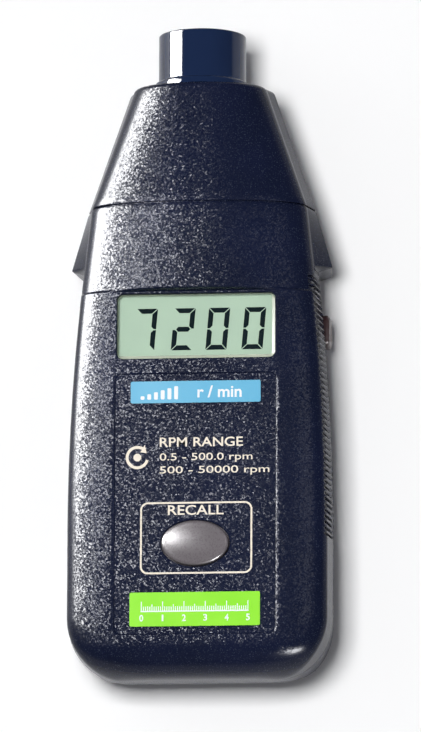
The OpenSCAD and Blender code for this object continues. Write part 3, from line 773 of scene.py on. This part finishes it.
# Rear case half with the cover's room, the measuring button's hole and the screw wells
COVER_FLAT = BODY_HALF - (PART_Z - BACK_R) * DRAFT - BACK_R - 0.55
COVER_RAIL = COVER_FLAT + 1.4
PLATE_Z, RAIL_Z, TOE_L = 1.45, 1.3, 9.0
MEASURE_HOLE = (20.0, BODY_HALF + 6)
SCREW_R, SCREW_SEAT, SCREW_N = 2.7, 6.0, 64
SCREW_FOOT_X, SCREW_NECK_X = 27.0, 26.0
screw_spots = [
    (side * x, y)
    for x, y in ((SCREW_FOOT_X, SCREW_LOW.y + SCREW_R), (SCREW_NECK_X, SCREW_HIGH.y - SCREW_R))
    for side in (-1, 1)
]
rear = half_shell("rear_shell", lower)
for name, x, y_top, z in (
    ("cover_room", COVER_FLAT + GAP, COVER_HIGH.y + GAP, (-BOX_OUT, PLATE_Z + GAP / 2)),
    ("rail_room", COVER_RAIL + GAP, COVER_HIGH.y + GAP, (RAIL_Z - GAP, COVER_HIGH.z + GAP)),
    ("toe_room", BODY_HALF + BOX_OUT, Y_FOOT + TOE_L + GAP, (-BOX_OUT, COVER_HIGH.z + GAP)),
):
    cut(rear, box_piece(name, (-x, x), (Y_FOOT - BOX_OUT, y_top), z))
hole = measure_outline(2 * GAP, HOLE_R)
cut(rear, stack("measure_cut", [(hole, x) for x in MEASURE_HOLE], measure_place))
well_sizes = (2 * SCREW_R + 2 * GAP, 2 * SCREW_R + 4 * GAP)
for k, (x, y) in enumerate(screw_spots):
    well, mouth = (shifted(oval_loop(size, size, SCREW_N), x, y) for size in well_sizes)
    cut(rear, stack("screw_cut_%d" % k, [(mouth, BELOW), (mouth, 0), (well, GAP), (well, SCREW_SEAT)]))
dress(shaded(rear), MATS["case_rear"], nodes=["rear_case"])

# Battery bay round the cells
BAY_HALF = high("battery_4").x + 0.45
BAY_Y = (low("foot_contact_1").y, high("top_contact_2").y)
BAY_TOP = high("battery_1").z + GAP
BAY_SIDE, BAY_END, BAY_ROOF = 1.7, 1.2, 0.8
BAY_LOW = COVER_HIGH.z + 0.35
bay_x = BAY_HALF + BAY_SIDE
bay = box_piece("battery_bay", (-bay_x, bay_x), (BAY_Y[0] - BAY_END, BAY_Y[1] + BAY_END),
                (BAY_LOW, BAY_TOP + BAY_ROOF))
cut(bay, box_piece("bay_cut", (-BAY_HALF, BAY_HALF), BAY_Y, (BELOW, BAY_TOP)))
dress(shaded(bay), MATS["case_rear"])

# Screw bosses, turned about Y and then stood up
BOSS_LOW, BOSS_TOP = 1.9, PART_Z - 0.1
BOSS_WALL, SHANK_R, BOSS_N = 0.8, 1.5, 48
well_r = SCREW_R + GAP
boss_r = well_r + BOSS_WALL
for k, (x, y) in enumerate(screw_spots):
    boss = turned("screw_boss_%d" % k, [
        (well_r, BOSS_LOW), (boss_r, BOSS_LOW), (boss_r, BOSS_TOP),
        (SHANK_R, BOSS_TOP), (SHANK_R, SCREW_SEAT), (well_r, SCREW_SEAT),
    ], (0, 0), BOSS_N)
    boss.data.transform(Matrix.Translation((x * MM, y * MM, 0)) @ Matrix.Rotation(math.radians(90), 4, "X"))
    dress(shaded(boss), MATS["case_rear"])

# Battery cover, cut from the same outline. Its slab's pieces differ by a hair, so no two faces fall together.
HAIR_Y, HAIR_Z = 0.01, 0.001
SLAB_FOOT, SLAB_OUT = Y_FOOT - 1, BODY_HALF + 1
GRIPS, GRIP_PITCH = 5, 2
GRIP_EDGE_H, GRIP_DEEP = 0.2, 0.5
GRIP_W, GRIP_L, GRIP_R, GRIP_EDGE = 18, 1, 0.45, 0.3
GRIP_TOP = BAY_Y[1] - 9
cover = half_solid("battery_door", lower)
slab = box_piece("cover_slab", (-COVER_FLAT, COVER_FLAT), (SLAB_FOOT, COVER_HIGH.y), (COVER_LOW.z, PLATE_Z))
combine(slab, box_piece("cover_rails", (-COVER_RAIL, COVER_RAIL), (SLAB_FOOT, COVER_HIGH.y - HAIR_Y),
                        (RAIL_Z, COVER_HIGH.z)), "UNION")
combine(slab, box_piece("cover_toe", (-SLAB_OUT, SLAB_OUT), (SLAB_FOOT - HAIR_Y, Y_FOOT + TOE_L),
                        (COVER_LOW.z + HAIR_Z, COVER_HIGH.z + HAIR_Z)), "UNION")
combine(cover, slab, "INTERSECT")
for k in range(GRIPS):
    y = GRIP_TOP - GRIP_PITCH * k - GRIP_L / 2
    slot_loop = shifted(rounded_loop(GRIP_W, GRIP_L, GRIP_R), 0, y)
    mouth = shifted(rounded_loop(GRIP_W + GRIP_EDGE, GRIP_L + GRIP_EDGE, GRIP_R + GRIP_EDGE / 2), 0, y)
    cut(cover, stack("grip_cut_%d" % k, [
        (mouth, BELOW), (mouth, COVER_LOW.z),
        (slot_loop, COVER_LOW.z + GRIP_EDGE_H), (slot_loop, COVER_LOW.z + GRIP_DEEP),
    ]))
dress(shaded(cover), MATS["cover"], body="cover", nodes=["battery_cover"])

# Head shell with the bore for the nose. A profile that closes on the axis stops just short of it.
AXIS_R = 0.01
HEAD_BORE = SPIGOT_R + GAP / 2
bore_y = (Y_HEAD - 4, Y_HEAD + 1)
head = head_piece("head_cover")
bore_profile = [(AXIS_R, bore_y[0]), (HEAD_BORE, bore_y[0]), (HEAD_BORE, bore_y[1]), (AXIS_R, bore_y[1])]
cut(head, turned("head_bore", bore_profile, (0, NOSE_Z)))
dress(shaded(head), MATS["case_head"], nodes=["head_shell"])

# Nose tube with a rounded collar and mouth. The collar is counted from the barrel and from the head's end.
COLLAR_EDGE, MOUTH_EDGE, BORE_EDGE = 0.6, 0.5, 0.4
COLLAR_FLAT, COLLAR_CENTRE, COLLAR_FOOT, SUPPORT = 0.8, (0.5, 1.3), 0.12, 0.15
NOSE_N, NOSE_SHARP = 128, 40
collar = [(COLLAR_RISE, 0), (COLLAR_RISE, COLLAR_FLAT)] + quarter(*COLLAR_CENTRE, COLLAR_EDGE, 0)
collar += [(COLLAR_FOOT, COLLAR_L - SUPPORT), (0, COLLAR_L), (0, COLLAR_L + SUPPORT)]
profile = [(NOSE_BORE, Y_HEAD - SPIGOT_L), (SPIGOT_R, Y_HEAD - SPIGOT_L), (SPIGOT_R, Y_HEAD)]
profile += [(NOSE_R + r, Y_HEAD + y) for r, y in collar]
profile += [(NOSE_R, (Y_HEAD + Y_TIP) / 2), (NOSE_R, Y_TIP - MOUTH_EDGE - SUPPORT)]
profile += quarter(NOSE_R - MOUTH_EDGE, Y_TIP - MOUTH_EDGE, MOUTH_EDGE, 0)
profile += quarter(NOSE_BORE + BORE_EDGE, Y_TIP - BORE_EDGE, BORE_EDGE, 90)
nose = turned("nose_barrel", profile, (0, NOSE_Z), NOSE_N)
dress(shaded(nose, NOSE_SHARP), MATS["nose"], nodes=["nose_tube"])

# Lens with a curved front
LENS_R = (LENS_HIGH.x - LENS_LOW.x) / 2
LENS_RIM, LENS_BULGE, LENS_AXIS_R, LENS_N = 1.6, 1.0, 0.02, 12
dome = [(LENS_AXIS_R, LENS_LOW.y), (LENS_R, LENS_LOW.y), (LENS_R, LENS_HIGH.y)]
for k in range(LENS_N + 1):
    t = k / LENS_N
    r = LENS_R - LENS_RIM - (LENS_R - LENS_RIM - LENS_AXIS_R) * t
    dome.append((r, LENS_HIGH.y + LENS_BULGE * (1 - (1 - t) ** 2)))
lens = turned("lens_glass", dome, (0, NOSE_Z))
dress(shaded(lens), MATS["lens"], nodes=["lens"])

# Memory button, an oval with a flange, a soft edge and a domed top
FLANGE_LOW, FLANGE_TOP, FLANGE_W = MEMORY_LOW.z + 0.8, MEMORY_LOW.z + 2.4, 1.5
CAP_EDGE, CAP_EDGE_H, CAP_DOME = 1.2, 0.9, 0.7
CAP_EDGE_N, CAP_DOME_N = 6, 12
loops = [(memory_outline(grow), z) for grow, z in (
    (2 * FLANGE_W, FLANGE_LOW), (2 * FLANGE_W, FLANGE_TOP), (0, FLANGE_TOP),
)]
for k in range(CAP_EDGE_N + 1):
    angle = math.radians(90 * k / CAP_EDGE_N)
    z = MEMORY_HIGH.z - CAP_DOME - CAP_EDGE_H + CAP_EDGE_H * math.sin(angle)
    loops.append((memory_outline(-2 * CAP_EDGE * (1 - math.cos(angle))), z))
for k in range(1, CAP_DOME_N):
    share = 1 - k / CAP_DOME_N
    oval = oval_loop((MEMORY_W - 2 * CAP_EDGE) * share, (MEMORY_L - 2 * CAP_EDGE) * share)
    loops.append((shifted(oval, 0, MEMORY_Y), MEMORY_HIGH.z - CAP_DOME * share ** 2))
button = stack("memory_cap", loops)
dress(shaded(button), MATS["memory_key"], body="memory_key", nodes=["memory_button"])

# Side measuring button with a flange, a soft edge and a shallow dish, given as (inset, depth)
KEY_FLANGE_X, KEY_FLANGE_T, KEY_FLANGE_W = MEASURE_LOW.x + 0.9, 1.4, 1.2
KEY_EDGE, KEY_EDGE_N, DISH_R = 0.9, 5, 0.9
DISH = ((1.5, 0), (1.8, 0.12), (2.3, 0.25), (3.2, 0.3))
flange = measure_outline(2 * KEY_FLANGE_W, MEASURE_R)
loops = [(flange, KEY_FLANGE_X), (flange, KEY_FLANGE_X + KEY_FLANGE_T)]
loops.append((measure_outline(0, MEASURE_R), KEY_FLANGE_X + KEY_FLANGE_T))
for k in range(KEY_EDGE_N + 1):
    angle = math.radians(90 * k / KEY_EDGE_N)
    shrink = KEY_EDGE * (1 - math.cos(angle))
    x = MEASURE_HIGH.x - KEY_EDGE + KEY_EDGE * math.sin(angle)
    loops.append((measure_outline(-2 * shrink, MEASURE_R - shrink), x))
loops += [(measure_outline(-2 * inset, DISH_R), MEASURE_HIGH.x - depth) for inset, depth in DISH]
trigger = stack("measure_cap", loops, measure_place)
dress(shaded(trigger), MATS["measure_key"], body="measure_key", nodes=["measure_button"])

# Display window. Its pane has a wide bevel right and below, and a thin one left and above.
PANE_W, PANE_L = VIEW_W - 0.3, VIEW_L - 0.3
PANE_LOW, PANE_STEP, RIM_Z = WINDOW_LOW.z + 0.02, WINDOW_LOW.z + 1.2, WINDOW_HIGH.z - 0.05
LEDGE_WIDER, LEDGE_LONGER = 3.2, 1.6
BEVEL_WIDE, BEVEL_THIN, BEVEL_DEEP = 0.9, 0.1, 0.75
BEVEL_BOTH = BEVEL_WIDE + BEVEL_THIN
BEVEL_SHIFT = (BEVEL_WIDE - BEVEL_THIN) / 2
GLASS_Z = WINDOW_HIGH.z - BEVEL_DEEP
BEVEL_LEAST_Z, BEVEL_MOST_UP = GLASS_Z + 0.01, 0.95
ledge = shifted(rounded_loop(VIEW_W + LEDGE_WIDER, VIEW_L + LEDGE_LONGER, VIEW_R), 0, VIEW_Y)
rim = shifted(rounded_loop(PANE_W, PANE_L, VIEW_R), 0, VIEW_Y)
glass = shifted(rounded_loop(PANE_W - BEVEL_BOTH, PANE_L - BEVEL_BOTH, VIEW_R - BEVEL_WIDE),
                -BEVEL_SHIFT, VIEW_Y + BEVEL_SHIFT)
pane = stack("display_window", [
    (ledge, PANE_LOW), (ledge, PANE_STEP), (rim, PANE_STEP), (rim, RIM_Z), (glass, GLASS_Z),
])
dress(shaded(pane), MATS["window"], nodes=["lcd_window"])
pane.data.materials.append(BEVEL)
for face in pane.data.polygons:
    if face.center.z > BEVEL_LEAST_Z * MM and abs(face.normal.z) < BEVEL_MOST_UP:
        face.material_index = 1

# Print is a thin layer of shapes on a face.
INK, SEGMENT_T = 0.04, 0.03


def flat_print(name, outlines, z, thick, material):
    """Printed shapes lying at height z."""
    points, faces = [], []
    for loop in outlines:
        n, k = len(loop), len(points)
        points += [(x, y, z) for x, y in loop] + [(x, y, z + thick) for x, y in loop]
        faces += [tuple(range(k, k + n)), tuple(range(k + n, k + 2 * n))]
        faces += [(k + j, k + (j + 1) % n, k + n + (j + 1) % n, k + n + j) for j in range(n)]
    return dress(mesh_piece(name, points, faces), material)


def flat_ring(name, outer, inner, z, thick, material):
    """Printed strip between two outlines with as many points."""
    n = len(outer)
    points = [(x, y, h) for h in (z, z + thick) for loop in (outer, inner) for x, y in loop]
    faces = []
    for j in range(n):
        i = (j + 1) % n
        faces += [(j, i, n + i, n + j), (2 * n + j, 2 * n + i, 3 * n + i, 3 * n + j),
                  (j, i, 2 * n + i, 2 * n + j), (n + j, n + i, 3 * n + i, 3 * n + j)]
    return dress(mesh_piece(name, points, faces), material)


def lettering(name, words, x, y, height, width, z, material, bold):
    """Printed words, scaled to that height and width, from their lower left corner."""
    curve = bpy.data.curves.new(name, "FONT")
    curve.body = words
    curve.extrude = 0.5
    curve.offset = bold
    curve.resolution_u = 4
    text = bpy.data.objects.new(name, curve)
    bpy.context.scene.collection.objects.link(text)
    graph = bpy.context.evaluated_depsgraph_get()
    mesh = bpy.data.meshes.new_from_object(text.evaluated_get(graph))
    bpy.data.objects.remove(text)
    xs, ys = [v.co.x for v in mesh.vertices], [v.co.y for v in mesh.vertices]
    left, bottom = min(xs), min(ys)
    sx, sy = width / (max(xs) - left), height / (max(ys) - bottom)
    for v in mesh.vertices:
        v.co = Vector(((v.co.x - left) * sx + x, (v.co.y - bottom) * sy + y, z + (v.co.z + 0.5) * INK)) * MM
    obj = bpy.data.objects.new(name, mesh)
    bpy.context.scene.collection.objects.link(obj)
    return dress(obj, material)


# Digits on the display
READING = (7, 2, 0, 0)
SEGMENTS = {0: "abcdef", 2: "abdeg", 7: "abc"}
SLANT = math.tan(math.radians(5))
DIGIT_W, DIGIT_H, STROKE, STROKE_GAP = 6.0, 12.0, 1.4, 0.16
DIGIT_X = (-18.2, -7.5, 2.3, 12.5)
DIGIT_Y = VIEW_Y - DIGIT_H / 2 - 0.4


def segment(which):
    """Outline of one display segment, from the digit's lower left corner."""
    w, h, b, g = DIGIT_W, DIGIT_H, STROKE, STROKE_GAP
    mid = h / 2
    shapes = {
        "a": [(g, h), (w - g, h), (w - b - g, h - b), (b + g, h - b)],
        "d": [(g, 0), (b + g, b), (w - b - g, b), (w - g, 0)],
        "g": [(b * 0.6 + g, mid), (b + g, mid + b / 2), (w - b - g, mid + b / 2), (w - b * 0.6 - g, mid),
              (w - b - g, mid - b / 2), (b + g, mid - b / 2)],
        "b": [(w, h - g), (w, mid + g), (w - b / 2, mid + g), (w - b, mid + b / 2 + g), (w - b, h - b - g)],
        "c": [(w, mid - g), (w, g), (w - b, b + g), (w - b, mid - b / 2 - g), (w - b / 2, mid - g)],
        "f": [(0, h - g), (b, h - b - g), (b, mid + b / 2 + g), (b / 2, mid + g), (0, mid + g)],
        "e": [(0, mid - g), (b / 2, mid - g), (b, mid - b / 2 - g), (b, b + g), (0, g)],
    }
    return shapes[which]


outlines = []
for x0, digit in zip(DIGIT_X, READING):
    for which in SEGMENTS[digit]:
        outlines.append([(x0 + x + y * SLANT, DIGIT_Y + y) for x, y in segment(which)])
flat_print("display_digits", outlines, LCD_TOP, SEGMENT_T, SEGMENT)

# Frame round the memory button
FRAME_W, FRAME_L, FRAME_R, LINE = 31.6, 20.4, 2.2, 0.5
FRAME_X, FRAME_Y = 0.3, MEMORY_Y + 1.5
outer = shifted(rounded_loop(FRAME_W, FRAME_L, FRAME_R), FRAME_X, FRAME_Y)
inner = shifted(rounded_loop(FRAME_W - 2 * LINE, FRAME_L - 2 * LINE, FRAME_R - LINE), FRAME_X, FRAME_Y)
flat_ring("button_frame", outer, inner, PANEL_Z, INK, PRINT)

# Words on the panel, given as (words, height above the panel's middle, width, boldness)
WORDS_X, WORDS_H = -10.1, 2.7
RECALL_X, RECALL_Y, RECALL_H, RECALL_W = -7.7, MEMORY_Y + 8.0, 2.8, 15.7
HEADING_BOLD, RANGE_BOLD = 0.012, 0.004
for k, (words, up, width, bold) in enumerate((
    ("RPM RANGE", 16.1, 23.5, HEADING_BOLD),
    ("0.5 - 500.0 rpm", 11.6, 26.2, RANGE_BOLD),
    ("500 - 50000 rpm", 7.9, 31.0, RANGE_BOLD),
), 1):
    lettering("print_line_%d" % k, words, WORDS_X, PANEL_Y + up, WORDS_H, width, PANEL_Z, PRINT, bold)
lettering("print_recall", "RECALL", RECALL_X, RECALL_Y, RECALL_H, RECALL_W, PANEL_Z, PRINT, HEADING_BOLD)

# Pictogram: a turning arrow round a dot. The arrow's head is given as (radius, angle from the arc's start).
ICON_X, ICON_Y = -16.4, PANEL_Y + 13.2
ICON_OUTER, ICON_INNER, ICON_DOT = 3.3, 2.5, 2.2
ICON_START, ICON_SWEEP, ICON_N, DOT_N = 60, 285, 39, 32
ICON_HEAD = ((4.1, 0), (1.7, 0), (2.9, -0.62))


def icon_point(radius, angle):
    return ICON_X + radius * math.cos(angle), ICON_Y + radius * math.sin(angle)


angles = [math.radians(ICON_START + ICON_SWEEP * k / ICON_N) for k in range(ICON_N + 1)]
arc = [icon_point(ICON_OUTER, angle) for angle in angles]
arc += [icon_point(ICON_INNER, angle) for angle in reversed(angles)]
arrow = [icon_point(radius, angles[0] + turn) for radius, turn in ICON_HEAD]
dot = shifted(oval_loop(ICON_DOT, ICON_DOT, DOT_N), ICON_X, ICON_Y)
flat_print("turning_sign", [arc, arrow, dot], PANEL_Z, INK, PRINT)

# Upper label: rising bars and a unit
LABEL_BOLD = 0.02
UNIT_X, UNIT_Y, UNIT_H, UNIT_W = 0.5, UPPER_LABEL_Y - 1.7, 3.4, 12.5
BARS, BARS_X, BARS_PITCH, BARS_LOW = 6, -15, 1.9, 2.1
BAR_W, BAR_L, BAR_RISE, BAR_R, BAR_N = 1.1, 1.0, 0.55, 0.3, 3
lettering("upper_unit", "r / min", UNIT_X, UNIT_Y, UNIT_H, UNIT_W, LABEL_Z, PRINT_WHITE, LABEL_BOLD)
outlines = []
for k in range(BARS):
    tall = BAR_L + BAR_RISE * k
    loop = rounded_loop(BAR_W, tall, BAR_R, BAR_N)
    outlines.append(shifted(loop, BARS_X + BARS_PITCH * k, UPPER_LABEL_Y - BARS_LOW + tall / 2))
flat_print("upper_bars", outlines, LABEL_Z, INK, PRINT_WHITE)

# Lower label: a plain scale with numbers
TICKS, TICKS_X, TICK_PITCH, TICK_HALF = 50, -15, 0.6, 0.13
TICK_TALL, TICK_MIDDLE, TICK_SHORT = 2.6, 1.8, 1.2
BASE_HALF, BASE_T, BASE_Y = 15.2, 0.35, LOWER_LABEL_Y - 0.4
NUMBER_H, NUMBER_W, ONE_W, NUMBER_Y = 1.9, 1.1, 0.5, LOWER_LABEL_Y - 3.4
outlines = []
for k in range(TICKS + 1):
    tall = TICK_TALL if k % 10 == 0 else TICK_MIDDLE if k % 5 == 0 else TICK_SHORT
    tick = [(-TICK_HALF, 0), (TICK_HALF, 0), (TICK_HALF, tall), (-TICK_HALF, tall)]
    outlines.append(shifted(tick, TICKS_X + TICK_PITCH * k, BASE_Y))
base = [(-BASE_HALF, -BASE_T), (BASE_HALF, -BASE_T), (BASE_HALF, 0), (-BASE_HALF, 0)]
outlines.append(shifted(base, 0, BASE_Y))
flat_print("lower_scale", outlines, LABEL_Z, INK, PRINT_WHITE)
for k in range(TICKS // 10 + 1):
    wide = ONE_W if k == 1 else NUMBER_W
    x = TICKS_X + 10 * TICK_PITCH * k - wide / 2
    lettering("scale_number_%d" % k, str(k), x, NUMBER_Y, NUMBER_H, wide, LABEL_Z, PRINT_WHITE, LABEL_BOLD)

# The remaining CAD nodes take their slot's material
slots = {s["node"]: s["material_slot"] for s in frame["record"]["subparts"]}
for name, obj in frame["nodes"].items():
    obj.data.materials.clear()
    obj.data.materials.append(MATS[slots[name]])

# Floor, in metres like the lamps and the camera
FLOOR_HALF = 3
corners = [(x * FLOOR_HALF, y * FLOOR_HALF, 0) for x, y in ((-1, -1), (1, -1), (1, 1), (-1, 1))]
floor = mesh_piece("floor", corners, [(0, 1, 2, 3)], 1)
paper = plastic(
    "floor", (0.94, 0.94, 0.94), (0.96, 0.96, 0.96),
    rough=0.8, grain=0.002, depth=0.000002, cloud=3, gloss=0.1)
floor.data.materials.append(paper)

# Lamps: name, place, size, radiance, and whether it gives the sheen or the plain light
TARGET = Vector((2.45, -2.32, 18.0)) * MM
LAMPS = (
    ("key", (-0.887, 0.349, 0.373), (0.4, 0.65), 125.0, True),
    ("near", (-0.138, 0.04, 0.287), (0.08, 0.08), 75.0, True),
    ("glint", (0.366, -0.721, 0.382), (0.2, 0.2), 110.0, True),
    ("side", (0.16, 0.0, 0.24), (0.1, 0.1), 4.0, True),
    ("high", (-0.10, 0.0, 1.25), (0.35, 0.35), 36.0, False),
)
for name, place, size, radiance, sheen in LAMPS:
    data = bpy.data.lights.new(name, "AREA")
    data.shape, data.size, data.size_y = "RECTANGLE", size[0], size[1]
    data.energy = radiance * math.pi * size[0] * size[1]
    lamp = bpy.data.objects.new(name, data)
    lamp.location = place
    lamp.rotation_euler = (TARGET - Vector(place)).to_track_quat("-Z", "Y").to_euler()
    lamp.visible_diffuse, lamp.visible_glossy, lamp.visible_camera = not sheen, sheen, False
    bpy.context.scene.collection.objects.link(lamp)

WORLD_COLOUR = (0.17, 0.17, 0.18)
world = bpy.data.worlds.new("studio")
world.use_nodes = True
background = world.node_tree.nodes["Background"]
background.inputs["Color"].default_value = (*WORLD_COLOUR, 1)
background.inputs["Strength"].default_value = 1.0
bpy.context.scene.world = world

# Camera fitted to the photograph: direction from the object, roll, distance and focal length in pixels
CAMERA_SIDE = (0.1118, -0.1838, 1)
ROLL = math.radians(0.254)
DISTANCE, FOCAL, PHOTO_H, SENSOR = 2.5, 8843.9, 732, 36
toward = Vector(CAMERA_SIDE).normalized()
level_right = Vector((0, 1, 0)).cross(toward).normalized()
level_up = toward.cross(level_right)
right = level_right * math.cos(ROLL) + level_up * math.sin(ROLL)
above = level_up * math.cos(ROLL) - level_right * math.sin(ROLL)
turn = Matrix((right, above, toward)).transposed().to_4x4()
camera = bpy.data.objects.new("camera", bpy.data.cameras.new("camera"))
camera.data.sensor_width = SENSOR
camera.data.lens = FOCAL / PHOTO_H * SENSOR
camera.data.clip_end = 50
camera.matrix_world = Matrix.Translation(TARGET + toward * DISTANCE) @ turn
bpy.context.scene.collection.objects.link(camera)
bpy.context.scene.camera = camera
bpy.context.scene.view_settings.view_transform = "Standard"
